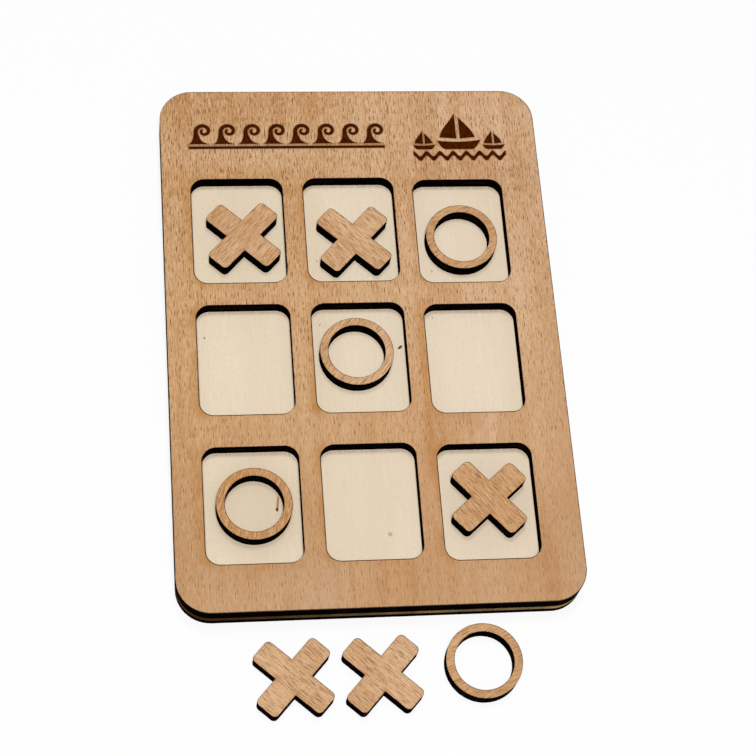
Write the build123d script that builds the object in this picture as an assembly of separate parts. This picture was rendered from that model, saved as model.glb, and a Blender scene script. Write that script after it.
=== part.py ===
from build123d import *
from math import cos, radians, sin
import os

# A noughts and crosses board cut from beech plywood, with its nine playing pieces.
# Two sheets are glued face to face: a frame with nine windows lies on a plain back panel, and
# each window is a tray that a piece drops into. The five crosses and four rings are cut from the
# frame's sheet, so a piece that lies on the panel is flush with the frame's top.
# Six pieces lie in the windows and three in front of the board, as in the middle of a game.
# X runs to the right, Y from the near edge to the far edge and Z up. The origin is the middle of
# the board's underside. Lengths are millimetres, angles degrees.

# The two sheets
frame_thickness = 4.0
panel_thickness = 4.0
board_corner = 8.9

# One window
window_width = 24.6
window_length = 31.4
window_corner = 3.6

# Strips of the frame from left to right, between and beside the three columns of windows
left_margin = 7.8
left_bar = 5.6
right_bar = 5.4
right_margin = 11.0

# Strips of the frame from the far edge to the near edge. The far one is wide, for an ornament.
far_margin = 27.7
far_bar = 6.6
near_bar = 9.0
near_margin = 12.6

# The right column of windows is cut a little nearer to the player than the other two.
right_column_drop = 0.8

# The playing pieces. Play is the room left on each side when a piece lies across a window.
cross_play = 1.3
arm_width = 6.5
tip_corner = 1.3
ring_play = 2.6
ring_band = 2.2

# The three pieces in front of the board: gaps to its near edge, and gaps to each other
loose_middle_x = -1.5
loose_left_gap = 1.5
loose_right_gap = 5.6
loose_cross_edge_gap = 5.4
loose_ring_edge_gap = 3.7

# Sizes that follow
board_width = left_margin + left_bar + right_bar + right_margin + 3 * window_width
board_length = far_margin + far_bar + near_bar + near_margin + 3 * window_length
board_top = panel_thickness + frame_thickness
near_edge = -board_length / 2
cross_span = window_width - 2 * cross_play
ring_radius = window_width / 2 - ring_play
ring_hole_radius = ring_radius - ring_band


def window_centres():
    """The windows' centres as rows from far to near, each from left to right."""
    first_x = -board_width / 2 + left_margin + window_width / 2
    middle_x = first_x + window_width + left_bar
    last_x = middle_x + window_width + right_bar
    first_y = board_length / 2 - far_margin - window_length / 2
    middle_y = first_y - window_length - far_bar
    last_y = middle_y - window_length - near_bar
    return [
        [(first_x, y), (middle_x, y), (last_x, y - right_column_drop)]
        for y in (first_y, middle_y, last_y)
    ]


WINDOWS = window_centres()


def cross_reach(angle):
    """How far a cross turned by angle reaches from its centre, along X and along Y alike."""
    along, across = sorted((abs(cos(radians(angle))), abs(sin(radians(angle)))), reverse=True)
    return cross_span / 2 * along + arm_width / 2 * across


def in_window(row, column, share_x, share_y, reach):
    """Where a piece lies in a window: the shares, from -1 to 1, are of its free play each way."""
    x, y = WINDOWS[row][column]
    play_x = window_width / 2 - reach
    play_y = window_length / 2 - reach
    return x + share_x * play_x, y + share_y * play_y


def plain_sheet():
    """The outline that both sheets share."""
    return RectangleRounded(board_width, board_length, board_corner)


def back_panel():
    """The floor of the windows and the board's underside."""
    return extrude(plain_sheet(), panel_thickness)


def window_frame():
    """The sheet with the nine windows, on top of the panel."""
    outline = plain_sheet()
    window = RectangleRounded(window_width, window_length, window_corner)
    for row in WINDOWS:
        for x, y in row:
            outline -= Pos(x, y) * window
    return Pos(0, 0, panel_thickness) * extrude(outline, frame_thickness)


def cross(x, y, base, angle):
    """Two equal arms that cross at right angles, one turned by angle from the X axis."""
    arm = RectangleRounded(cross_span, arm_width, tip_corner)
    outline = arm + Rot(0, 0, 90) * arm
    return Pos(x, y, base) * Rot(0, 0, angle) * extrude(outline, frame_thickness)


def ring(x, y, base):
    """A flat ring, of the same sheet."""
    outline = Circle(ring_radius) - Circle(ring_hole_radius)
    return Pos(x, y, base) * extrude(outline, frame_thickness)


def laid_cross(row, column, share_x, share_y, angle):
    """A cross that lies on the panel in a window."""
    x, y = in_window(row, column, share_x, share_y, cross_reach(angle))
    return cross(x, y, panel_thickness, angle)


def laid_ring(row, column, share_x, share_y):
    """A ring that lies on the panel in a window."""
    x, y = in_window(row, column, share_x, share_y, ring_radius)
    return ring(x, y, panel_thickness)


def loose_cross(x, angle):
    """A cross on the table, in front of the board's near edge."""
    return cross(x, near_edge - loose_cross_edge_gap - cross_reach(angle), 0, angle)


def loose_ring(x):
    """A ring on the table, in front of the board's near edge."""
    return ring(x, near_edge - loose_ring_edge_gap - ring_radius, 0)


# The two loose crosses lie nearly square to each other, and the ring stands off to their right.
left_angle = 47.5
middle_angle = 47.2
loose_left_x = loose_middle_x - cross_reach(middle_angle) - loose_left_gap - cross_reach(left_angle)
loose_right_x = loose_middle_x + cross_reach(middle_angle) + loose_right_gap + ring_radius

NODES = {
    "back_panel": back_panel(),
    "window_frame": window_frame(),
    "cross_1": laid_cross(0, 0, 0.55, -0.28, 46.8),
    "cross_2": laid_cross(0, 1, 0.30, -0.55, 46.9),
    "cross_3": laid_cross(2, 2, 0.12, 0.18, 41.0),
    "cross_4": loose_cross(loose_left_x, left_angle),
    "cross_5": loose_cross(loose_middle_x, middle_angle),
    "ring_1": laid_ring(0, 2, -0.06, -0.33),
    "ring_2": laid_ring(1, 1, -0.37, 0.27),
    "ring_3": laid_ring(2, 0, 0.14, 0.04),
    "ring_4": loose_ring(loose_right_x),
}

os.makedirs("parts", exist_ok=True)
for name, solid in NODES.items():
    export_step(solid, f"parts/{name}.step")
    centre = solid.bounding_box().center()
    print(f"{name}: centre {centre.X:.2f}, {centre.Y:.2f}, {centre.Z:.2f}")
print(f"board {board_width:.1f} x {board_length:.1f} x {board_top:.1f}, cross {cross_span:.1f},", end=" ")
print(f"ring {2 * ring_radius:.1f} outside and {2 * ring_hole_radius:.1f} inside")
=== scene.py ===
"""Looks for a noughts and crosses set of laser-cut plywood: a window frame glued on a pale back
panel, with crosses and rings in the windows and in front of the board.

Every wooden piece is rebuilt as a detailed sheet around the outline of its CAD node: rippled and
charred cut walls with their plies, a burnt arris, a face mesh that carries the distance to the
nearest cut, and on the frame an engraved ornament with real depth. Lengths are millimetres until
a mesh is written, which is in metres.
"""

import math

import bpy
import numpy as np
from mathutils import Matrix, Vector
from mathutils.geometry import delaunay_2d_cdt
from mathutils.kdtree import KDTree


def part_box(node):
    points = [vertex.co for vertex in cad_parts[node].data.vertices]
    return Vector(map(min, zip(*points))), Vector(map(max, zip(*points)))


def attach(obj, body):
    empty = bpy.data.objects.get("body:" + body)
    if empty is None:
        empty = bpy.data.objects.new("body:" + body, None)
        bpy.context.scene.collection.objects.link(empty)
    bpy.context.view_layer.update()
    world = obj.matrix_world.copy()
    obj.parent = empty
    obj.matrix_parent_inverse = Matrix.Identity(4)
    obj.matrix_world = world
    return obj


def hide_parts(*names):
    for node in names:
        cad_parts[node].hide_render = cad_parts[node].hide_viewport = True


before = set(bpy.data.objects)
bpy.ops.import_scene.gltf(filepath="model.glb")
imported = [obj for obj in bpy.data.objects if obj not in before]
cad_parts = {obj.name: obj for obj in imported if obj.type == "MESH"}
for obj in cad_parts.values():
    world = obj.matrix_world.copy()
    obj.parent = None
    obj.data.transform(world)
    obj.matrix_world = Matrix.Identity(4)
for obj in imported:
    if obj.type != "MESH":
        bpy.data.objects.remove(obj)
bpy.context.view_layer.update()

MM = 0.001
TINY = 1e-6

# Camera: its place, its directions to the right and ahead, and its lens
CAMERA_PLACE = Vector((-66.63, -232.62, 491.56))
CAMERA_RIGHT = Vector((0.99141, -0.07292, 0.10855))
CAMERA_AHEAD = Vector((0.12903, 0.41067, -0.90261))
CAMERA_LENS = 97.98
CAMERA_SENSOR = 36.0
CAMERA_CLIP = (0.01, 20.0)

# Light: the world's strength, the side of the square lamps in metres, and each lamp's place in
# metres and its watts
WORLD_STRENGTH = 0.14
LAMP_SIDE = 0.30
LAMPS = {
    "key": ((-0.06, -0.36, 1.30), 12.7),
    "back": ((0.0, 0.30, 1.30), 4.0),
}
WHITE = (1.0, 1.0, 1.0, 1.0)

# The floor: half of its side in metres, its own colour, and the share of plain white over that
# colour where the camera sees it
FLOOR_HALF = 3.0
FLOOR_COLOUR = (0.93, 0.93, 0.93, 1.0)
FLOOR_WHITENESS = 0.80

# Cut walls: the arris that the beam rounds off, the plies, and the ripple that it leaves. The
# arris curve is how far down and how far in each of its rings lies, as shares of drop and inset.
WALL_STEP = 0.35
ARRIS_DROP = 0.09
ARRIS_INSET = 0.14
ARRIS_CURVE = ((1.0, 0.0), (0.35, 0.22), (0.08, 0.60), (0.0, 1.0))
FOOT_INSET = 0.04
PLY_LINES = (0.34, 0.66)
PLY_GROOVE = 0.05
PLY_GROOVE_HALF = 0.07
PLY_GROOVE_LIP = 0.01
RIPPLE = 0.035
SHARP_ANGLE = 42

# Face meshes: the spacing of points near an edge of the top and of the underside, and away from
# it, the spacing of their rows as a share of that, and the room that points leave to the arris and
# to the fine zone
FINE_STEP = 0.30
UNDERSIDE_STEP = 0.60
COARSE_STEP = 0.85
ROW_SHARE = 0.87
EDGE_ZONE = 1.0
EDGE_CLEAR = 0.16
COARSE_CLEAR = 0.3
LOOKUP_STEP = 0.1
POINTS_AT_ONCE = 2000
SAME_PLACE = 1e-7

# The engraved ornament in the far margin. Its floor is set in from its outline by the slope, or in
# a narrow tip by the largest share of it that leaves room: a move TIP_ROOM times as long has to
# stay inside the outline too.
ENGRAVED_DEPTH = 0.35
ENGRAVED_SLOPE = 0.05
SLOPE_SHARES = (0.1, 0.25, 0.5, 1.0)
TIP_ROOM = 2.2
WAVE_COUNT = 8
WAVE_SIZE = 6.8
WAVE_LEFT = -44.2
WAVE_BASE = 58.3
WAVE_LINE = 0.8
WAVE_LINE_GAP = 0.7
WAVE_LINE_SHORT = 0.1
FLEET_PLACE = (30.2, 56.2)
FLEET_HALF = 12.9
BOAT_SIZE = 11.4
SMALL_BOAT_SIZE = 5.8
BOAT_PITCH = 9.7
SWELL_DROP = 2.1
SWELL_HEIGHT = 1.7
SWELL_WAVES = 7
SWELL_STEPS = 10
SWELL_BAND = 0.42

# The crest of a wave, as shares of the wave's size: the eye that it winds round, the degrees that
# it winds through, its radius and half its width at the start, and how much each shrinks
CREST_EYE = (0.62, 0.60)
CREST_TURN = (180, -215)
CREST_STEPS = 48
CREST_TIP_STEPS = 7
CREST_RADIUS = 0.315
CREST_RADIUS_LOSS = 0.235
CREST_WINDING = 0.85
CREST_HALF = 0.085
CREST_HALF_LOSS = 0.035

# How the wood differs from place to place. The ranges that the board's face shifts over are in
# metres: up to SIDE_REACH on either side of the middle, or from one Y to the other, with a range
# along X beside it where there are two.
SIDE_REACH = 0.045
NEAR_SHIFT = (-0.028, -0.07)
FAR_SHIFT = ((0.0, 0.07), (-0.045, -0.015))
FAR_LEFT_SHIFT = ((0.030, 0.065), (-0.02, -0.05))
CRISPNESS_RANGE = (-0.070, 0.062)
BOARD_CRISPNESS = (0.60, 1.35)
SIDE_CRISPNESS = (1.06, 0.86)
PIECE_CRISPNESS = 1.20
PIECE_GRAIN_LENGTH = 1.35
PIECE_GRAIN_WIDTH = 0.8
PLANK_REACH = 400.0

# The grain's threads as width, length and how much they show, how much its grit and mottle show,
# how far a ray strays in its cell, and where a ray's edge fades, in half sizes of the ray
BOARD_THREAD = (0.24, 2.8, 2.35)
PIECE_THREAD = (0.22, 4.5, 2.9)
GRIT = 0.85
BOARD_MOTTLE = 0.33
PIECE_MOTTLE = 0.16
RAY_STRAY = 0.85
RAY_EDGE = (1.15, 0.60)

# The burnt line along the arris: how wide it is at its thinnest and widest, how soft and ragged
# its edge is, the direction from the wood to the cut in which it is widest, and how much of it
# there is beside the board's outer cut
BOARD_RIM = (0.11, 0.29)
PIECE_RIM = (0.10, 0.19)
RIM_SOFT = 0.06
RIM_RAGGED = 0.14
BOARD_RIM_WAY = (1.0, 1.0)
PIECE_RIM_WAY = (0.6, 0.8)
OUTER_RIM = 0.60

# How much the beam toasts the wood on each side of a window, and more so at two of its corners
LEFT_TOAST = 0.72
RIGHT_TOAST = 0.17
NEAR_TOAST = 0.16
NEAR_LEFT_TOAST = 1.4
FAR_LEFT_TOAST = 0.55
TOAST_DEPTH = 0.75
PIECE_TOAST = 0.08

# The burnt spots in inner corners that turn more sharply than the angle in degrees, the soot along
# the underside's edge, and the distance to the engraving that stands for none
SPOT_REACH = 1.3
SPOT_DEPTH = (0.45, 1.0)
SPOT_TURN = -60
UNDERSIDE_SOOT = 0.6
FAR_OFF = 9.0

# Colours as they look on screen, from 0 to 255: the beech of the board and of the pieces
BOARD_LEFT = (207, 165, 118)
BOARD_RIGHT = (214, 176, 140)
BOARD_NEAR = (191, 151, 112)
BOARD_FAR = (234, 196, 156)
BOARD_FAR_LEFT = (176, 124, 74)
PALEST_PIECE = (218, 178, 137)
DARKEST_PIECE = (194, 142, 84)
BROAD_TINT = (194, 147, 100)
BAND_TINT = (182, 130, 82)
CLOUD_TINT = (188, 134, 80)
STREAK_TINT = (178, 120, 74)
THREAD_PALE = (230, 193, 151)
THREAD_DARK = (150, 99, 50)
RAY_TINT = (110, 64, 24)
FIBRE_TINT = (168, 120, 74)
BOARD_TOASTED = (172, 112, 40)
PIECE_TOASTED = (148, 84, 32)
BURNT = (54, 27, 6)
ENGRAVED_HALO = (126, 74, 32)

# The birch of the panel
BIRCH_LEFT = (231, 215, 189)
BIRCH_RIGHT = (233, 216, 195)
BIRCH_BROAD = (227, 209, 183)
BIRCH_CLOUD = (224, 206, 178)
BIRCH_FIBRE_DARK = (219, 197, 166)
BIRCH_FIBRE_PALE = (240, 226, 206)
BIRCH_THREAD = (204, 180, 148)
BIRCH_SPECK = (212, 190, 160)
BIRCH_PORE = (165, 128, 88)
# Soot together with painted shade, put on the panel beside and at the foot of the frame's walls
BIRCH_SMOKED_AND_SHADED = (148, 110, 72)

# The char of the cut walls, the bare ply in one of them, and the ground of the engraving
CHAR_BLACK = (4, 3, 3)
CHAR_BROWN = (19, 12, 7)
CHAR_CORE = (46, 30, 12)
BARE_LEFT = (96, 66, 36)
BARE_RIGHT = (196, 160, 112)
GROUND_DARK = (82, 34, 2)
GROUND_PALE = (142, 80, 22)
GROUND_EDGE = (54, 15, 0)

# Redder streaks in the board's face: centre, half width and half length in mm, and strength
REDDER_STREAKS = (
    ((-8.0, -68.0), (0.7, 9.0), 0.45),
    ((-0.5, -67.0), (2.0, 8.0), 0.50),
    ((6.9, -68.0), (1.3, 7.0), 0.45),
    ((17.1, -68.0), (1.4, 8.0), 0.35),
    ((42.7, -68.0), (2.2, 14.0), 0.55),
    ((-47.1, 66.0), (0.9, 9.0), 0.55),
    ((-44.2, 65.0), (1.1, 11.0), 0.55),
    ((-19.3, 68.0), (1.9, 9.0), 0.45),
    ((4.6, 60.0), (0.8, 13.0), 0.35),
    ((-49.0, 30.0), (1.2, 30.0), 0.12),
)

# Wide soft tones in the board's face: centre, half width and half length in mm, colour and strength
BOARD_TONES = (
    ((0.0, 9.0), (70.0, 24.0), (234, 198, 150), 0.15),
    ((-34.0, -47.0), (23.0, 21.0), (160, 116, 62), 0.26),
    ((-32.0, 46.0), (18.0, 5.0), (184, 132, 54), 0.26),
    ((12.0, -30.0), (10.0, 18.0), (184, 124, 60), 0.26),
    ((14.9, -6.0), (1.3, 22.0), (188, 128, 58), 0.50),
    ((14.8, -31.0), (1.7, 9.0), (172, 110, 54), 0.50),
    ((36.0, 47.0), (20.0, 7.0), (170, 118, 68), 0.32),
    ((-30.0, 57.0), (22.0, 6.0), (234, 204, 170), 0.28),
    ((42.0, 22.0), (13.0, 20.0), (236, 204, 168), 0.15),
    ((42.6, 12.0), (1.9, 46.0), (236, 208, 176), 0.22),
    ((49.8, -12.0), (2.4, 60.0), (170, 124, 84), 0.15),
    ((-51.6, -50.0), (2.6, 20.0), (166, 118, 74), 0.24),
    ((-45.6, 34.0), (1.2, 17.0), (184, 130, 58), 0.22),
    ((2.0, -8.0), (9.0, 80.0), (192, 142, 78), 0.11),
    ((-30.0, -71.5), (22.0, 5.0), (222, 202, 168), 0.07),
    ((42.0, -58.0), (14.0, 14.0), (172, 136, 100), 0.20),
)

# Painted shade over four windows, and specks and dents in the panel's face: centre, half width and half
# length in mm, tilt in degrees, colour and strength
PANEL_SHADES_AND_MARKS = (
    # The first four are painted shade: soft darkening over four windows, where the walls and the pieces
    # would shade the panel
    ((-31.3, -46.5), (11.5, 14.0), 0.0, (203, 183, 155), 0.43),
    ((28.7, -46.9), (11.5, 14.0), 0.0, (206, 186, 164), 0.38),
    ((-1.5, -46.8), (11.5, 14.0), 0.0, (206, 188, 162), 0.13),
    ((-31.7, 31.0), (11.5, 14.0), 0.0, (206, 186, 158), 0.14),
    ((-25.15, -45.2), (0.31, 2.1), -6.0, (166, 112, 60), 0.9),
    ((-25.4, -46.8), (0.36, 0.55), 0.0, (62, 34, 8), 0.95),
    ((3.0, -54.4), (0.55, 0.6), 20.0, (186, 162, 128), 0.9),
    ((-10.9, 24.0), (0.20, 0.30), 10.0, (110, 88, 66), 0.6),
    ((20.0, 20.5), (0.32, 0.42), 0.0, (192, 164, 134), 0.8),
    ((19.0, 6.5), (0.24, 0.34), 30.0, (180, 158, 132), 0.8),
    ((-41.9, 1.8), (0.24, 0.30), 0.0, (128, 98, 76), 0.85),
    ((-11.3, 5.0), (0.20, 0.45), -20.0, (176, 150, 122), 0.8),
    ((9.6, -2.0), (0.36, 0.74), -48.0, (34, 22, 8), 0.95),
)

# The ply that the cut left bare in the panel's wall, as shares of its thickness
BARE_PLY = (0.54, 0.98)

# The playing pieces: the angle of the grain in degrees from +X, and how dark that bit of the sheet is
PIECE_WOOD = {
    "cross_1": (48.0, 0.10),
    "cross_2": (-47.0, 0.0),
    "cross_3": (-53.0, 0.50),
    "cross_4": (-44.0, 0.0),
    "cross_5": (-44.0, 0.0),
    "ring_1": (28.0, 0.35),
    "ring_2": (53.0, 0.05),
    "ring_3": (75.0, 0.95),
    "ring_4": (27.0, 0.35),
}

rng = np.random.default_rng(7)


# Outlines

def outline_loops(node):
    """The closed outlines of a node's top face as arrays of x and y, with the wood on their left."""
    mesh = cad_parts[node].data
    top = max(v.co.z for v in mesh.vertices)
    places = [(round(v.co.x / MM, 4), round(v.co.y / MM, 4)) for v in mesh.vertices]
    steps = set()
    for face in mesh.polygons:
        if all(mesh.vertices[i].co.z > top - TINY for i in face.vertices):
            corners = [places[i] for i in face.vertices]
            steps.update(zip(corners, corners[1:] + corners[:1]))
    after = {a: b for a, b in steps if (b, a) not in steps}
    loops = []
    while after:
        start = min(after)
        loop = [start]
        here = after.pop(start)
        while here != start:
            loop.append(here)
            here = after.pop(here)
        loops.append(np.array(loop))
    return sorted(loops, key=lambda p: -np.ptp(p[:, 0]))


def divide(loop, step):
    """The loop with each side cut into equal parts no longer than step. Its corners stay."""
    points = []
    for a, b in zip(loop, np.roll(loop, -1, axis=0)):
        parts = max(1, math.ceil(np.linalg.norm(b - a) / step))
        points += [a + (b - a) * i / parts for i in range(parts)]
    return np.array(points)


def inward(loop):
    """For each point, the mitred direction into the wood, which lies on the loop's left."""
    ahead = np.roll(loop, -1, axis=0) - loop
    ahead /= np.linalg.norm(ahead, axis=1)[:, None]
    left = np.stack([-ahead[:, 1], ahead[:, 0]], axis=1)
    middle = left + np.roll(left, 1, axis=0)
    middle /= np.linalg.norm(middle, axis=1)[:, None]
    return middle / np.clip((middle * left).sum(1), 0.5, 1)[:, None]


def way_to(loops, points):
    """The distance from each point to the nearest loop, and the direction that it lies in."""
    line = np.concatenate([divide(loop, LOOKUP_STEP) for loop in loops])
    tree = KDTree(len(line))
    for number, (x, y) in enumerate(line):
        tree.insert((x, y, 0), number)
    tree.balance()
    found = [tree.find((x, y, 0)) for x, y in points]
    distance = np.array([f[2] for f in found])
    offset = np.array([f[0][:2] for f in found]) - points
    return distance, offset / np.maximum(distance, TINY)[:, None]


def inside(loops, points):
    """Which points lie inside an odd number of the loops."""
    a = np.concatenate(loops)
    b = np.concatenate([np.roll(loop, -1, axis=0) for loop in loops])
    result = np.zeros(len(points), bool)
    for i in range(0, len(points), POINTS_AT_ONCE):
        p = points[i:i + POINTS_AT_ONCE, None, :]
        crosses = (a[:, 1] > p[..., 1]) != (b[:, 1] > p[..., 1])
        with np.errstate(divide="ignore", invalid="ignore"):
            at = a[:, 0] + (p[..., 1] - a[:, 1]) * (b[:, 0] - a[:, 0]) / (b[:, 1] - a[:, 1])
        result[i:i + POINTS_AT_ONCE] = (crosses & (p[..., 0] < at)).sum(1) % 2 == 1
    return result


def grid(loops, step):
    """Points step apart over the loops' box, in rows shifted by half a step."""
    everything = np.concatenate(loops)
    low, high = everything.min(0), everything.max(0)
    rows = np.arange(low[1], high[1], step * ROW_SHARE)
    columns = np.arange(low[0], high[0], step)
    return np.array([(x + step / 2 * (i % 2), y) for i, y in enumerate(rows) for x in columns])


def face_points(loops, edges, fine_step=FINE_STEP):
    """Points that fill the face inside the loops: close together near any of the edges."""
    fine, coarse = grid(loops, fine_step), grid(loops, COARSE_STEP)
    fine_gap, coarse_gap = way_to(edges, fine)[0], way_to(edges, coarse)[0]
    fine = fine[(fine_gap > ARRIS_INSET + EDGE_CLEAR) & (fine_gap < EDGE_ZONE)]
    coarse = coarse[coarse_gap >= EDGE_ZONE + COARSE_STEP * COARSE_CLEAR]
    points = np.concatenate([fine, coarse])
    return points[inside(loops, points)]


# Sheets

class Sheet:
    """A mesh in the making, with a material number for each face."""

    def __init__(self):
        self.points, self.faces, self.finish = [], [], []

    def ring(self, loop, z):
        """Adds a loop of points at a height and returns their numbers."""
        first = len(self.points)
        heights = np.broadcast_to(z, len(loop))
        self.points += [(x, y, h) for (x, y), h in zip(loop, heights)]
        return list(range(first, len(self.points)))

    def skirt(self, low, high, finish):
        """Joins two rings of equal length with quads that face away from the wood."""
        count = len(low)
        for i in range(count):
            j = (i + 1) % count
            self.faces.append((low[i], low[j], high[j], high[i]))
            self.finish.append(finish)

    def fill(self, rings, z, finish, spots=(), upward=True):
        """Fills the area on the left of the directed rings with triangles through the spots."""
        numbers = [i for ring in rings for i in ring]
        flat = [Vector(self.points[i][:2]) for i in numbers] + [Vector(p) for p in spots]
        edges, start = [], 0
        for ring in rings:
            edges += [(start + i, start + (i + 1) % len(ring)) for i in range(len(ring))]
            start += len(ring)
        places, _, triangles, origins, _, _ = delaunay_2d_cdt(flat, edges, [], 0, SAME_PLACE)
        index = {old: new for new, olds in enumerate(origins) for old in olds}
        boundary = {(index[a], index[b]) for a, b in edges}
        names = []
        for place, olds in zip(places, origins):
            if olds and olds[0] < len(numbers):
                names.append(numbers[olds[0]])
            else:
                names.append(len(self.points))
                self.points.append((place.x, place.y, z))
        for triangle in wood_side(triangles, boundary):
            corners = [names[i] for i in triangle]
            self.faces.append(tuple(corners if upward else reversed(corners)))
            self.finish.append(finish)


def wood_side(triangles, boundary):
    """The triangles on the left of the directed boundary edges, with any that they lead to."""
    neighbours, queue = {}, []
    for number, triangle in enumerate(triangles):
        for a, b in zip(triangle, triangle[1:] + triangle[:1]):
            neighbours[(a, b)] = number
            if (a, b) in boundary:
                queue.append(number)
    kept = set(queue)
    while queue:
        triangle = triangles[queue.pop()]
        for a, b in zip(triangle, triangle[1:] + triangle[:1]):
            other = neighbours.get((b, a))
            if other is None or other in kept or (a, b) in boundary or (b, a) in boundary:
                continue
            kept.add(other)
            queue.append(other)
    return [triangles[i] for i in sorted(kept)]


def ripple(count):
    """The smooth random inset that the beam's pulses leave along a loop, from 0 to RIPPLE."""
    pulses = rng.random(count)
    soft = (pulses + np.roll(pulses, 1) + 0.5 * np.roll(pulses, 2)) / 2.5
    return RIPPLE * soft


def wall_levels(low, high):
    """The rings of a cut wall from the foot to the top face, as height and inset."""
    levels = [(low, FOOT_INSET), (low + FOOT_INSET, 0.0)]
    for share in PLY_LINES:
        line = low + share * (high - low)
        levels += [
            (line - PLY_GROOVE_HALF, PLY_GROOVE_LIP),
            (line, PLY_GROOVE),
            (line + PLY_GROOVE_HALF, PLY_GROOVE_LIP),
        ]
    levels += [(high - ARRIS_DROP * down, ARRIS_INSET * across) for down, across in ARRIS_CURVE]
    return levels


# The numbers of the materials that each sheet has
FACE, WALL, ENGRAVED = 0, 1, 2


def cut_wall(sheet, loop, low, high, arris):
    """Adds the cut wall along one outline, and returns its lowest and its highest ring."""
    line = divide(loop, WALL_STEP)
    into = inward(line)
    rippled = ripple(len(line))
    rings = [
        sheet.ring(line + into * (rippled + inset)[:, None], z)
        for z, inset in wall_levels(low, high)
    ]
    first_arris = len(rings) - len(ARRIS_CURVE)
    for number, (below, above) in enumerate(zip(rings, rings[1:])):
        sheet.skirt(below, above, WALL if number < first_arris else arris)
    return rings[0], rings[-1]


def engraved_foot(line):
    """An engraved outline at its floor: in by the slope of its walls, or by less in a narrow tip."""
    into = -inward(line) * ENGRAVED_SLOPE
    share = np.zeros(len(line))
    for part in SLOPE_SHARES:
        share[inside([line], line + into * part * TIP_ROOM)] = part
    return line + into * share[:, None]


def engraved_wall(sheet, loop, high):
    """Adds the engraved wall along one ornament loop, and returns its rim and its floor's edge."""
    line = divide(loop, FINE_STEP)
    rim = sheet.ring(line, high)
    sunk = sheet.ring(engraved_foot(line), high - ENGRAVED_DEPTH)
    sheet.skirt(sunk, rim, ENGRAVED)
    return rim, sunk[::-1]


def build_sheet(name, body, finishes, arris=FACE, wood=(90.0, 0.0), ornament=(), shade=()):
    """A detailed piece that replaces the CAD node of that name, engraved with any ornament loops."""
    low, high = (corner.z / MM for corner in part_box(name))
    loops = outline_loops(name)
    sheet = Sheet()
    tops, feet, floor = [], [], []
    for loop in loops:
        foot, top = cut_wall(sheet, loop, low, high, arris)
        feet.append(foot)
        tops.append(top)
    for loop in ornament:
        rim, edge = engraved_wall(sheet, loop, high)
        tops.append(rim)
        floor.append(edge)
    sheet.fill(tops, high, FACE, face_points(loops, [*loops, *ornament, *shade]))
    sheet.fill(feet, low, FACE, face_points(loops, loops, UNDERSIDE_STEP), upward=False)
    if floor:
        sheet.fill(floor, high - ENGRAVED_DEPTH, ENGRAVED)
    points = np.array(sheet.points)
    piece = write_sheet(sheet, f"{name}_sheet", finishes)
    under = points[:, 2] < (low + high) / 2
    keep_burns(piece.data, points, low, high, loops, ornament, shade)
    keep_grain(piece.data, points, loops[0].mean(0), wood, body != "board")
    if len(shade):
        keep_soot_and_shade(piece.data, points[:, :2], shade, under)
    else:
        keep_toast(piece.data, points[:, :2], loops)
    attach(piece, body)
    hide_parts(name)


def write_sheet(sheet, name, finishes):
    """The object of a finished sheet, smooth but for its real edges."""
    mesh = bpy.data.meshes.new(name)
    mesh.from_pydata((np.array(sheet.points) * MM).tolist(), [], sheet.faces)
    for finish in finishes:
        mesh.materials.append(finish)
    mesh.polygons.foreach_set("material_index", sheet.finish)
    mesh.polygons.foreach_set("use_smooth", [True] * len(sheet.faces))
    mesh.validate()
    mesh.set_sharp_from_angle(angle=math.radians(SHARP_ANGLE))
    piece = bpy.data.objects.new(name, mesh)
    bpy.context.scene.collection.objects.link(piece)
    return piece


def keep(mesh, name, values):
    """Keeps three numbers for each point of the mesh under a name that the materials read."""
    attribute = mesh.attributes.new(name, "FLOAT_VECTOR", "POINT")
    attribute.data.foreach_set("vector", values.astype(np.float32).ravel())


def keep_burns(mesh, points, low, high, loops, ornament, shade):
    """The distance to the nearest cut and engraving, and the share of the thickness below.

    Shade is the outlines of walls that stand on the top face, which count as cuts there."""
    below = (points[:, 2] - low) / (high - low)
    cut = way_to(loops, points[:, :2])[0]
    if len(shade):
        cut = np.where(below > 0.5, np.minimum(cut, way_to(shade, points[:, :2])[0]), cut)
    engraved = way_to(ornament, points[:, :2])[0] if len(ornament) else np.full(len(points), FAR_OFF)
    keep(mesh, "burn", np.column_stack([cut, engraved, below]))


def keep_grain(mesh, points, centre, wood, loose):
    """Places across and along the grain, and the tone. A loose piece has its own spot of the plank."""
    angle, tone = wood
    turn = math.radians(90 - angle)
    spin = np.array([[math.cos(turn), math.sin(turn)], [-math.sin(turn), math.cos(turn)]])
    spot = rng.uniform(-PLANK_REACH, PLANK_REACH, 2) if loose else np.zeros(2)
    flat = (points[:, :2] - centre) @ spin + centre + spot
    keep(mesh, "grain", np.column_stack([flat, np.full(len(points), tone)]))


def keep_soot_and_shade(mesh, flat, shade, under):
    """How much soot and painted shade lies at each point of the panel: most on the near side of the walls on
    it.

    Shade is the outlines of those walls."""
    soot_and_shade = np.clip(way_to(shade, flat)[1][:, 1], 0, 1)
    soot_and_shade = np.where(under, UNDERSIDE_SOOT, soot_and_shade)
    keep(mesh, "toast_soot_and_shade", np.column_stack([soot_and_shade, soot_and_shade, soot_and_shade]))


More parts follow.
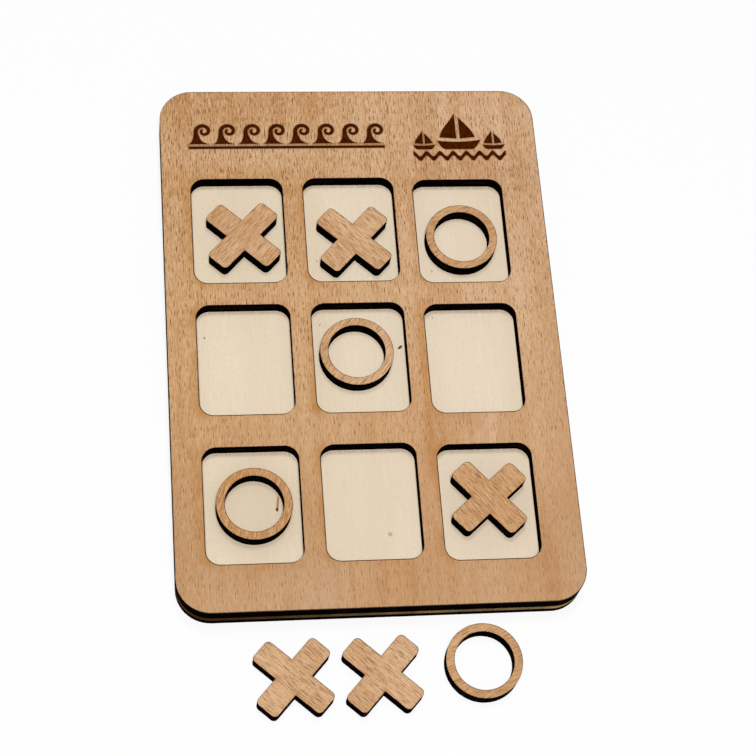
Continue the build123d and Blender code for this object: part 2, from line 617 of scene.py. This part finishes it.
def keep_toast(mesh, flat, loops):
    """How far each point is toasted, how wide its burnt line is, and the spots in inner corners.

    The beam's air jet blows one way, so all of it depends on which side of the cut a point lies.
    The board's windows toast it, and its outer cut only gives it a burnt line."""
    board = len(loops) > 2
    gap, ahead = way_to(loops[1:] if board else loops, flat)
    left, right = np.clip(ahead[:, 0], 0, 1), np.clip(-ahead[:, 0], 0, 1)
    near, far = np.clip(ahead[:, 1], 0, 1), np.clip(-ahead[:, 1], 0, 1)
    heat = LEFT_TOAST * left + RIGHT_TOAST * right + NEAR_TOAST * near
    heat = heat + NEAR_LEFT_TOAST * left * near + FAR_LEFT_TOAST * left * far
    burnt = np.clip(ahead @ (BOARD_RIM_WAY if board else PIECE_RIM_WAY), 0, 1)
    if board:
        outer_gap, outward = way_to(loops[:1], flat)
        beside_window = gap < outer_gap
        heat *= beside_window
        burnt = np.where(beside_window, burnt, OUTER_RIM * np.clip(1 + outward[:, 0], 0, 1))
    spots = np.zeros(len(flat))
    for x, y in inner_corners(loops):
        away = np.hypot(flat[:, 0] - x, flat[:, 1] - y)
        spots = np.maximum(spots, np.exp(-(away / SPOT_REACH) ** 2) * rng.uniform(*SPOT_DEPTH))
    keep(mesh, "toast_soot_and_shade", np.column_stack([heat, burnt, spots]))


def inner_corners(loops):
    """The sharp concave corners of a few-sided outline, where the beam starts and ends its cut."""
    found = []
    for loop in loops:
        back = loop - np.roll(loop, 1, axis=0)
        ahead = np.roll(loop, -1, axis=0) - loop
        turn = np.arctan2(back[:, 0] * ahead[:, 1] - back[:, 1] * ahead[:, 0], (back * ahead).sum(1))
        found += [tuple(p) for p in loop[turn < math.radians(SPOT_TURN)]]
    return found


# Ornament

def bezier(a, b, c, d, count):
    """Points along a cubic curve, without its last one."""
    a, b, c, d = (np.array(p) for p in (a, b, c, d))
    t = np.linspace(0, 1, count, endpoint=False)[:, None]
    return a * (1 - t) ** 3 + 3 * b * t * (1 - t) ** 2 + 3 * c * t * t * (1 - t) + d * t ** 3


def clockwise(loop):
    """The loop, turned round if need be, so that the wood outside it is on its left."""
    loop = np.array(loop)
    x, y = loop[:, 0], loop[:, 1]
    area = (x * np.roll(y, -1) - y * np.roll(x, -1)).sum()
    return loop[::-1] if area > 0 else loop


def wave(left, base, size):
    """One breaking wave: a hollow back and face, and a crest that curls over to a round tip."""
    eye = np.array(CREST_EYE)
    angle = np.radians(np.linspace(*CREST_TURN, CREST_STEPS))[:, None]
    share = np.linspace(0, 1, CREST_STEPS)[:, None]
    radius = CREST_RADIUS - CREST_RADIUS_LOSS * share ** CREST_WINDING
    half = CREST_HALF - CREST_HALF_LOSS * share
    ray = np.hstack([np.cos(angle), np.sin(angle)])
    outer, inner = eye + ray * (radius + half), eye + ray * (radius - half)
    tip_angle = np.linspace(0, math.pi, CREST_TIP_STEPS)[1:-1, None]
    ahead = np.array([math.sin(angle[-1, 0]), -math.cos(angle[-1, 0])])
    tip = eye + ray[-1] * (radius[-1] + np.cos(tip_angle) * half[-1])
    tip = tip + ahead * np.sin(tip_angle) * half[-1]
    toe = (0.84, 0.0)
    back = bezier((-0.03, 0.0), (0.14, 0.02), (0.22, 0.30), outer[0], 12)
    face = bezier(inner[0], (0.40, 0.28), (0.52, 0.06), toe, 12)
    loop = np.vstack([back, outer, tip, inner[:0:-1], face, [toe]])
    return clockwise(np.array([left, base]) + loop * size)


def slab(x0, x1, y0, y1):
    """A plain bar."""
    return clockwise([(x0, y0), (x1, y0), (x1, y1), (x0, y1)])


def boat(left, base, size):
    """A small sailing boat: the loops of its hull, its main sail and its jib."""
    stern, bow, bow_foot = (-0.52, 0.24), (0.54, 0.26), (0.32, 0.0)
    hull = [
        *bezier((-0.34, 0.0), (-0.42, 0.02), (-0.48, 0.12), stern, 8),
        *bezier(stern, (-0.20, 0.19), (0.20, 0.19), bow, 10),
        *bezier(bow, (0.46, 0.12), (0.40, 0.02), bow_foot, 8),
        bow_foot,
    ]
    mast_foot, mast_top, boom_end = (-0.05, 0.30), (-0.05, 0.98), (-0.45, 0.33)
    main = [
        mast_foot,
        mast_top,
        *bezier((-0.07, 0.98), (-0.16, 0.78), (-0.44, 0.56), boom_end, 12),
        boom_end,
    ]
    jib_foot, jib_top = (0.04, 0.30), (0.04, 0.90)
    jib = [jib_foot, *bezier((0.40, 0.34), (0.36, 0.56), (0.16, 0.72), jib_top, 12), jib_top]
    return [clockwise(np.array([left, base]) + np.array(part) * size) for part in (hull, main, jib)]


def swell(x0, x1, y, height, waves):
    """A band whose edges swing up and down together, like a line of low waves."""
    x = np.linspace(x0, x1, waves * SWELL_STEPS + 1)
    middle = y + height * 0.5 * np.cos((x - x0) / (x1 - x0) * waves * 2 * math.pi)
    half = height * SWELL_BAND
    lower, upper = np.column_stack([x, middle - half]), np.column_stack([x, middle + half])
    return clockwise(np.vstack([lower, upper[::-1]]))


def ornament_loops():
    """A border of breaking waves, and beside it three sailing boats over a low swell."""
    loops = [wave(WAVE_LEFT + i * WAVE_SIZE, WAVE_BASE, WAVE_SIZE) for i in range(WAVE_COUNT)]
    right = WAVE_LEFT + (WAVE_COUNT - WAVE_LINE_SHORT) * WAVE_SIZE
    loops.append(slab(WAVE_LEFT, right, WAVE_BASE - WAVE_LINE_GAP - WAVE_LINE, WAVE_BASE - WAVE_LINE_GAP))
    x, y = FLEET_PLACE
    for side, size in ((0, BOAT_SIZE), (-1, SMALL_BOAT_SIZE), (1, SMALL_BOAT_SIZE)):
        loops += boat(x + side * BOAT_PITCH, y, size)
    loops.append(swell(x - FLEET_HALF, x + FLEET_HALF, y - SWELL_DROP, SWELL_HEIGHT, SWELL_WAVES))
    return loops


# Shader building blocks

def material(name):
    """A new material with its node tree and its shader."""
    made = bpy.data.materials.new(name)
    made.use_nodes = True
    return made, made.node_tree, made.node_tree.nodes["Principled BSDF"]


def srgb(colour):
    """A colour written as it looks on screen, from 0 to 255, as the linear colour of a shader."""
    def linear(v):
        v /= 255
        return v / 12.92 if v <= 0.04045 else ((v + 0.055) / 1.055) ** 2.4
    return (*(linear(v) for v in colour), 1.0)


def put(tree, socket, value):
    """Links an output to a socket, or writes a plain value on it."""
    if isinstance(value, bpy.types.NodeSocket):
        tree.links.new(value, socket)
    else:
        socket.default_value = value


def node(tree, kind, inputs=(), **settings):
    """A new node with its settings, and with values or links on its inputs."""
    made = tree.nodes.new(kind)
    for key, value in settings.items():
        setattr(made, key, value)
    for key, value in dict(inputs).items():
        put(tree, made.inputs[key], value)
    return made


def calc(tree, operation, a, b=0.0):
    """The result of an operation on two numbers."""
    return node(tree, "ShaderNodeMath", {0: a, 1: b}, operation=operation).outputs[0]


def vector(tree, operation, *inputs):
    """The outputs of an operation on vectors."""
    return node(tree, "ShaderNodeVectorMath", dict(enumerate(inputs)), operation=operation).outputs


def times(tree, *values):
    """The product of all the values."""
    product = values[0]
    for value in values[1:]:
        product = calc(tree, "MULTIPLY", product, value)
    return product


def swing_of(tree, value, middle, depth):
    """How far a value lies above its middle, times depth. Below it, it is negative."""
    return times(tree, calc(tree, "SUBTRACT", value, middle), depth)


def fade(tree, value, start, end, low=0.0, high=1.0):
    """A smooth step of value between start and end."""
    made = node(
        tree, "ShaderNodeMapRange", {0: value, 1: start, 2: end, 3: low, 4: high},
        interpolation_type="SMOOTHSTEP",
    )
    return made.outputs[0]


def blend(tree, amount, a, b):
    """The colour a where amount is 0, and b where it is 1."""
    made = node(tree, "ShaderNodeMix", data_type="RGBA", clamp_factor=True)
    for key, value in ((0, amount), (6, a), (7, b)):
        put(tree, made.inputs[key], value)
    return made.outputs[2]


def tinted(tree, colour, tint, value, start, end, depth=1.0):
    """The colour with a tint over it, which comes up to depth as value goes from start to end."""
    return blend(tree, fade(tree, value, start, end, 0.0, depth), colour, srgb(tint))


def stretched(tree, place, scale, offset=(0.0, 0.0, 0.0)):
    """The place times scale along each axis, moved by the offset."""
    return node(tree, "ShaderNodeMapping", {"Vector": place, "Scale": scale, "Location": offset}).outputs[0]


def noise(tree, place, scale, offset=(0.0, 0.0, 0.0), detail=2.0, rough=0.5, warp=0.0):
    """Soft noise from 0 to 1. The offset keeps one noise from lining up with the next."""
    made = node(tree, "ShaderNodeTexNoise", {
        "Vector": stretched(tree, place, scale, offset), "Scale": 1.0,
        "Detail": detail, "Roughness": rough, "Distortion": warp,
    })
    return made.outputs["Fac"]


def read(tree, name):
    """The three numbers that a sheet keeps at each point under that name, as sockets."""
    attribute = node(tree, "ShaderNodeAttribute", attribute_name=name)
    parts = node(tree, "ShaderNodeSeparateXYZ", {0: attribute.outputs["Vector"]})
    return attribute.outputs["Vector"], parts.outputs


def place_of(tree):
    """The place on the object in metres, whole and as its three parts."""
    place = node(tree, "ShaderNodeTexCoord").outputs["Object"]
    return place, node(tree, "ShaderNodeSeparateXYZ", {0: place}).outputs


def flecks(tree, grain, cell, half, share, offset):
    """Short dark rays along the grain: one ellipse in each of some cells, from 0 to 1."""
    scaled = stretched(tree, grain, (1 / cell[0], 1 / cell[1], 0.0), offset)
    cells = node(
        tree, "ShaderNodeTexVoronoi", {"Vector": scaled, "Scale": 1.0, "Randomness": RAY_STRAY},
        voronoi_dimensions="2D", feature="F1",
    )
    gap = vector(tree, "SUBTRACT", scaled, cells.outputs["Position"])[0]
    size = vector(tree, "MULTIPLY", gap, (cell[0] / half[0], cell[1] / half[1], 0.0))[0]
    reach = vector(tree, "LENGTH", size)["Value"]
    chance = node(tree, "ShaderNodeSeparateColor", {0: cells.outputs["Color"]}).outputs
    shape = fade(tree, reach, *RAY_EDGE)
    strength = fade(tree, chance[0], 1 - share, 1 - share * 0.3)
    return times(tree, strength, shape, fade(tree, chance[1], 0.1, 1.0, 0.2, 1.0))


def mark(tree, place, centre, half, tilt=0.0, soft=0.6):
    """An elliptical mark from 0 to 1, at a place in mm, its long side turned from Y by tilt degrees."""
    moved = vector(tree, "SUBTRACT", place, (centre[0] * MM, centre[1] * MM, 0.0))[0]
    turned_back = node(
        tree, "ShaderNodeVectorRotate", {"Vector": moved, "Angle": math.radians(-tilt)},
        rotation_type="Z_AXIS",
    ).outputs[0]
    size = vector(tree, "MULTIPLY", turned_back, (1 / (half[0] * MM), 1 / (half[1] * MM), 0.0))[0]
    return fade(tree, vector(tree, "LENGTH", size)["Value"], 1.0 + soft / 2, 1.0 - soft / 2)


def surface(tree, shader, colour, roughness, specular):
    """Sets a shader's colour, roughness and gloss."""
    put(tree, shader.inputs["Base Color"], colour)
    put(tree, shader.inputs["Roughness"], roughness)
    shader.inputs["Specular IOR Level"].default_value = specular


def relief(tree, shader, height, strength, depth):
    """Gives a shader fine relief of that depth in metres."""
    bump = node(tree, "ShaderNodeBump", {"Height": height, "Strength": strength, "Distance": depth})
    put(tree, shader.inputs["Normal"], bump.outputs[0])


# Materials. The scales of their noises are per mm across and along the grain, or per metre where
# they are read at the place on the object.

def board_wood(tree, x, y):
    """The plain colour of the board's beech, which shifts over its face."""
    across = fade(tree, x, -SIDE_REACH, SIDE_REACH)
    colour = blend(tree, across, srgb(BOARD_LEFT), srgb(BOARD_RIGHT))
    colour = tinted(tree, colour, BOARD_NEAR, y, *NEAR_SHIFT, 0.8)
    along, across = FAR_SHIFT
    paler = times(tree, fade(tree, y, *along, 0.0, 0.22), fade(tree, x, *across, 0.3, 1.0))
    colour = blend(tree, paler, colour, srgb(BOARD_FAR))
    along, across = FAR_LEFT_SHIFT
    darker = times(tree, fade(tree, y, *along, 0.0, 0.30), fade(tree, x, *across))
    return blend(tree, darker, colour, srgb(BOARD_FAR_LEFT))


def with_board_tones(tree, colour, place, mottle):
    """The colour with the board's wide soft tones, and with its redder streaks broken by the mottle."""
    for centre, half, tint, depth in BOARD_TONES:
        area = mark(tree, place, centre, half, soft=1.6)
        colour = blend(tree, times(tree, area, depth), colour, srgb(tint))
    for centre, half, depth in REDDER_STREAKS:
        broken = fade(tree, mottle, 0.35, 0.6, 0.35, 1.0)
        area = times(tree, mark(tree, place, centre, half), broken)
        colour = blend(tree, times(tree, area, depth), colour, srgb(STREAK_TINT))
    return colour


def beech_face(name, board):
    """Beech: tan with soft bands and short dark rays, toasted beside the cuts and burnt at the arris."""
    made, tree, shader = material(name)
    grain, (_, _, darkness) = read(tree, "grain")
    _, (cut, engraved, _) = read(tree, "burn")
    _, (heat, burnt, spots) = read(tree, "toast_soot_and_shade")
    place, (x, y, _) = place_of(tree)
    long, slim = (1.0, 1.0) if board else (PIECE_GRAIN_LENGTH, PIECE_GRAIN_WIDTH)
    thread_width, thread_length, thread_depth = BOARD_THREAD if board else PIECE_THREAD
    thread_scale = (1 / thread_width, 1 / thread_length, 0.0)
    mottle_depth = BOARD_MOTTLE if board else PIECE_MOTTLE

    broad = noise(tree, grain, (0.075, 0.006, 0.0), warp=0.6)
    bands = noise(tree, grain, (0.42, 0.022, 0.0), (7.0, 3.0, 0.0), detail=3.0, warp=0.4)
    clouds = noise(tree, grain, (0.11, 0.05, 0.0), (1.0, 12.0, 0.0), warp=0.3)
    mottle = noise(tree, grain, (1.05, 0.16 / long, 0.0), (2.0, 9.0, 0.0))
    threads = noise(tree, grain, thread_scale, (11.0, 5.0, 0.0), rough=0.6)
    fibres = noise(tree, grain, (6.5, 0.25, 0.0), (4.0, 1.0, 0.0), detail=3.0, rough=0.65)
    grit = noise(tree, grain, (2.2, 1.8, 0.0), (15.0, 7.0, 0.0), detail=1.0)
    patches = noise(tree, grain, (0.16, 0.10, 0.0), (5.0, 1.0, 0.0))
    ragged = noise(tree, grain, (2.2, 2.2, 0.0), (3.0, 4.0, 0.0))
    small_cell, small_ray = (0.74 * slim, 2.1 * long), (0.100 * slim, 0.75 * long)
    large_cell, large_ray = (1.05 * slim, 2.7 * long), (0.115 * slim, 0.95 * long)
    ray = calc(
        tree, "MAXIMUM",
        flecks(tree, grain, small_cell, small_ray, 0.85, (0.0, 0.0, 0.0)),
        flecks(tree, grain, large_cell, large_ray, 0.60, (31.0, 17.0, 0.0)),
    )

    if board:
        colour = board_wood(tree, x, y)
        along = fade(tree, y, *CRISPNESS_RANGE, *BOARD_CRISPNESS)
        crisp = times(tree, along, fade(tree, x, -SIDE_REACH, SIDE_REACH, *SIDE_CRISPNESS))
    else:
        colour = blend(tree, darkness, srgb(PALEST_PIECE), srgb(DARKEST_PIECE))
        crisp = PIECE_CRISPNESS
    colour = tinted(tree, colour, BROAD_TINT, broad, 0.40, 0.66, 0.60)
    colour = tinted(tree, colour, BAND_TINT, bands, 0.46, 0.74, 0.45)
    colour = tinted(tree, colour, CLOUD_TINT, clouds, 0.46, 0.72, 0.38)
    if board:
        colour = with_board_tones(tree, colour, place, mottle)

    swing = calc(
        tree, "ADD",
        swing_of(tree, mottle, 0.52, mottle_depth),
        swing_of(tree, threads, 0.53, thread_depth),
    )
    swing = times(tree, calc(tree, "ADD", swing, swing_of(tree, grit, 0.5, GRIT)), crisp)
    colour = blend(tree, calc(tree, "MAXIMUM", swing, 0.0), colour, srgb(THREAD_PALE))
    colour = blend(tree, calc(tree, "MAXIMUM", times(tree, swing, -1.0), 0.0), colour, srgb(THREAD_DARK))
    colour = blend(tree, times(tree, ray, crisp), colour, srgb(RAY_TINT))
    colour = tinted(tree, colour, FIBRE_TINT, fibres, 0.62, 0.30, 0.18)

    if board:
        reach = fade(tree, cut, 3.2, 0.3)
    else:
        heat = calc(tree, "ADD", PIECE_TOAST, spots)
        reach = calc(tree, "MAXIMUM", fade(tree, cut, 0.9, 0.1), spots)
    heat = times(tree, heat, reach, fade(tree, patches, 0.36, 0.64, 0.35, 1.0))
    toasted = srgb(BOARD_TOASTED if board else PIECE_TOASTED)
    colour = blend(tree, times(tree, heat, TOAST_DEPTH), colour, toasted)

    rim = calc(tree, "ADD", cut, swing_of(tree, ragged, 0.5, RIM_RAGGED))
    rim = calc(tree, "SUBTRACT", rim, fade(tree, burnt, 0.0, 1.0, *(BOARD_RIM if board else PIECE_RIM)))
    colour = tinted(tree, colour, BURNT, rim, RIM_SOFT, -RIM_SOFT, 0.98)
    colour = tinted(tree, colour, ENGRAVED_HALO, engraved, 0.42, 0.0, 0.55)
    surface(tree, shader, colour, fade(tree, fibres, 0.3, 0.7, 0.52, 0.64), specular=0.22)
    height = calc(tree, "SUBTRACT", times(tree, fibres, 0.5), times(tree, ray, 0.6))
    relief(tree, shader, height, strength=0.35, depth=0.00006)
    return made


def pale_face(name):
    """Pale birch: cream with faint fibres, with soot and painted shade where the frame's cut walls stand on
    it, and painted shade in four windows.
    """
    made, tree, shader = material(name)
    grain, _ = read(tree, "grain")
    _, (cut, _, below) = read(tree, "burn")
    _, (_, soot_and_shade, _) = read(tree, "toast_soot_and_shade")
    place, (x, _, _) = place_of(tree)
    broad = noise(tree, grain, (0.06, 0.008, 0.0), (4.0, 8.0, 0.0), warp=0.5)
    fibres = noise(tree, grain, (3.2, 0.09, 0.0), (1.0, 6.0, 0.0), detail=4.0, rough=0.6)
    threads = noise(tree, grain, (9.0, 0.30, 0.0), (8.0, 2.0, 0.0))
    cloud = noise(tree, grain, (1.1, 0.8, 0.0), (3.0, 3.0, 0.0), detail=3.0)
    specks = noise(tree, grain, (2.2, 1.7, 0.0), (9.0, 7.0, 0.0), rough=0.7)
    streaks = noise(tree, grain, (1.7, 0.12, 0.0), (6.0, 6.0, 0.0))
    pores = flecks(tree, grain, (1.5, 3.2), (0.10, 0.34), 0.30, (12.0, 5.0, 0.0))

    across = fade(tree, x, -SIDE_REACH, SIDE_REACH)
    colour = blend(tree, across, srgb(BIRCH_LEFT), srgb(BIRCH_RIGHT))
    colour = tinted(tree, colour, BIRCH_BROAD, broad, 0.35, 0.68)
    colour = tinted(tree, colour, BIRCH_CLOUD, cloud, 0.40, 0.70, 0.45)
    colour = tinted(tree, colour, BIRCH_FIBRE_DARK, fibres, 0.44, 0.70, 0.28)
    colour = tinted(tree, colour, BIRCH_FIBRE_PALE, fibres, 0.48, 0.30, 0.24)
    colour = tinted(tree, colour, BIRCH_THREAD, threads, 0.56, 0.76, 0.22)
    colour = tinted(tree, colour, BIRCH_SPECK, specks, 0.50, 0.75, 0.44)
    colour = blend(tree, times(tree, pores, 0.30), colour, srgb(BIRCH_PORE))

    # Soot streaks with painted shade beside the frame's walls, and at their foot a painted contact shadow
    smoke_and_shade = times(tree, fade(tree, cut, 1.4, 0.1), soot_and_shade, fade(tree, streaks, 0.30, 0.66, 0.08, 0.42))
    foot = times(tree, fade(tree, cut, 0.30, 0.02, 0.0, 0.9), soot_and_shade)
    colour = blend(tree, calc(tree, "MAXIMUM", smoke_and_shade, foot), colour, srgb(BIRCH_SMOKED_AND_SHADED))
    # Painted shade over four windows, and the panel's specks and dents, on its top face only
    for centre, half, tilt, tint, depth in PANEL_SHADES_AND_MARKS:
        spot = times(tree, mark(tree, place, centre, half, tilt), below, depth)
        colour = blend(tree, spot, colour, srgb(tint))
    surface(tree, shader, colour, fade(tree, fibres, 0.3, 0.7, 0.60, 0.70), specular=0.2)
    relief(tree, shader, fibres, strength=0.25, depth=0.00004)
    return made


def charred_wall(name, stripe=None):
    """A laser-cut wall, black with char. A stripe is a ply that was left bare, brightest at +X."""
    made, tree, shader = material(name)
    place, (x, _, _) = place_of(tree)
    _, (_, _, below) = read(tree, "burn")
    streaks = noise(tree, place, (2600.0, 2600.0, 220.0), detail=3.0, rough=0.6)
    slow = noise(tree, place, (120.0, 120.0, 30.0), (3.0, 5.0, 1.0))
    colour = blend(tree, fade(tree, streaks, 0.42, 0.78), srgb(CHAR_BLACK), srgb(CHAR_BROWN))
    low, high = PLY_LINES
    core = times(tree, fade(tree, below, low, low + 0.05), fade(tree, below, high, high - 0.05))
    core = times(tree, core, fade(tree, slow, 0.45, 0.7, 0.0, 0.45))
    colour = blend(tree, core, colour, srgb(CHAR_CORE))
    if stripe:
        low, high = stripe
        foot, head = fade(tree, below, low - 0.04, low + 0.06), fade(tree, below, high + 0.03, high - 0.07)
        bare = times(
            tree, foot, head,
            fade(tree, slow, 0.36, 0.62, 0.60, 1.0),
            fade(tree, streaks, 0.30, 0.62, 0.75, 1.0),
        )
        bright = fade(tree, x, -SIDE_REACH, SIDE_REACH)
        tan = blend(tree, bright, srgb(BARE_LEFT), srgb(BARE_RIGHT))
        colour = blend(tree, bare, colour, tan)
    surface(tree, shader, colour, fade(tree, streaks, 0.3, 0.7, 0.62, 0.85), specular=0.0)
    relief(tree, shader, streaks, strength=0.5, depth=0.00008)
    return made


def engraved_floor(name):
    """The sunk ground of the engraving: dark brown, darkest at its edges, ridged by the beam's rows."""
    made, tree, shader = material(name)
    place, _ = place_of(tree)
    _, (_, engraved, _) = read(tree, "burn")
    mottle = noise(tree, place, (1500.0, 700.0, 0.0), detail=3.0, rough=0.6)
    along = stretched(tree, place, (0.0, 1000.0, 0.0))
    rows = node(
        tree, "ShaderNodeTexWave", {"Vector": along, "Scale": 1.6, "Distortion": 0.6, "Detail": 1.0},
        bands_direction="Y",
    ).outputs["Fac"]
    colour = blend(tree, fade(tree, mottle, 0.36, 0.66), srgb(GROUND_DARK), srgb(GROUND_PALE))
    colour = tinted(tree, colour, GROUND_EDGE, engraved, 0.32, 0.05, 0.85)
    surface(tree, shader, colour, roughness=0.8, specular=0.0)
    relief(tree, shader, calc(tree, "ADD", rows, mottle), strength=0.4, depth=0.00006)
    return made


# Scene

def add_camera():
    """The camera at the photograph's viewing angle."""
    data = bpy.data.cameras.new("camera")
    data.lens = CAMERA_LENS
    data.sensor_width = CAMERA_SENSOR
    data.clip_start, data.clip_end = CAMERA_CLIP
    camera = bpy.data.objects.new("camera", data)
    bpy.context.scene.collection.objects.link(camera)
    ahead = CAMERA_AHEAD.normalized()
    up = CAMERA_RIGHT.cross(ahead).normalized()
    right = ahead.cross(up)
    turn = Matrix((right, up, -ahead)).transposed().to_4x4()
    camera.matrix_world = Matrix.Translation(CAMERA_PLACE * MM) @ turn
    bpy.context.scene.camera = camera


def add_softbox(name, place, size, watts):
    """A square lamp that looks at the origin."""
    data = bpy.data.lights.new(name, "AREA")
    data.shape = "SQUARE"
    data.size = size
    data.energy = watts
    lamp = bpy.data.objects.new(name, data)
    lamp.location = place
    lamp.rotation_euler = (-Vector(place)).to_track_quat("-Z", "Y").to_euler()
    bpy.context.scene.collection.objects.link(lamp)


def looked_at(tree):
    """1 for rays from the camera, from reflections and through glass, 0 for light."""
    path = node(tree, "ShaderNodeLightPath").outputs
    seen = calc(tree, "MAXIMUM", path["Is Camera Ray"], path["Is Glossy Ray"])
    return calc(tree, "MAXIMUM", seen, path["Is Transmission Ray"])


def add_world():
    """Soft light from all round, and white where the camera or a reflection looks past the floor."""
    world = bpy.data.worlds.new("world")
    bpy.context.scene.world = world
    world.use_nodes = True
    tree = world.node_tree
    light = tree.nodes["Background"]
    light.inputs["Color"].default_value = WHITE
    light.inputs["Strength"].default_value = WORLD_STRENGTH
    white = node(tree, "ShaderNodeBackground", {"Strength": 1.0, "Color": WHITE})
    mixed = node(tree, "ShaderNodeMixShader", {0: looked_at(tree), 1: light.outputs[0], 2: white.outputs[0]})
    put(tree, tree.nodes["World Output"].inputs[0], mixed.outputs[0])


def add_floor():
    """A white table at the height of the board's underside, on which the object's shadow stays faint."""
    mesh = bpy.data.meshes.new("floor")
    corners = [(x * FLOOR_HALF, y * FLOOR_HALF, 0) for x, y in ((-1, -1), (1, -1), (1, 1), (-1, 1))]
    mesh.from_pydata(corners, [], [(0, 1, 2, 3)])
    made, tree, shader = material("floor")
    surface(tree, shader, FLOOR_COLOUR, roughness=0.9, specular=0.1)
    white = node(tree, "ShaderNodeEmission", {"Color": WHITE, "Strength": 1.0})
    share = times(tree, looked_at(tree), FLOOR_WHITENESS)
    mixed = node(tree, "ShaderNodeMixShader", {0: share, 1: shader.outputs[0], 2: white.outputs[0]})
    put(tree, tree.nodes["Material Output"].inputs[0], mixed.outputs[0])
    mesh.materials.append(made)
    floor = bpy.data.objects.new("floor", mesh)
    bpy.context.scene.collection.objects.link(floor)


add_camera()
add_world()
for lamp, (place, watts) in LAMPS.items():
    add_softbox(lamp, place, LAMP_SIDE, watts)
add_floor()

engraving = engraved_floor("engraved_beech")
charred = charred_wall("charred_wall")
board_finish = (beech_face("beech_board_face", board=True), charred, engraving)
piece_finish = (beech_face("beech_piece_face", board=False), charred, engraving)
panel_finish = (pale_face("birch_face"), charred_wall("charred_panel_wall", BARE_PLY), engraving)

build_sheet("back_panel", "board", panel_finish, arris=WALL,
            shade=outline_loops("window_frame")[1:])
build_sheet("window_frame", "board", board_finish, ornament=ornament_loops())
for piece, wood in PIECE_WOOD.items():
    build_sheet(piece, piece, piece_finish, wood=wood)

bpy.context.scene.view_settings.view_transform = "Standard"
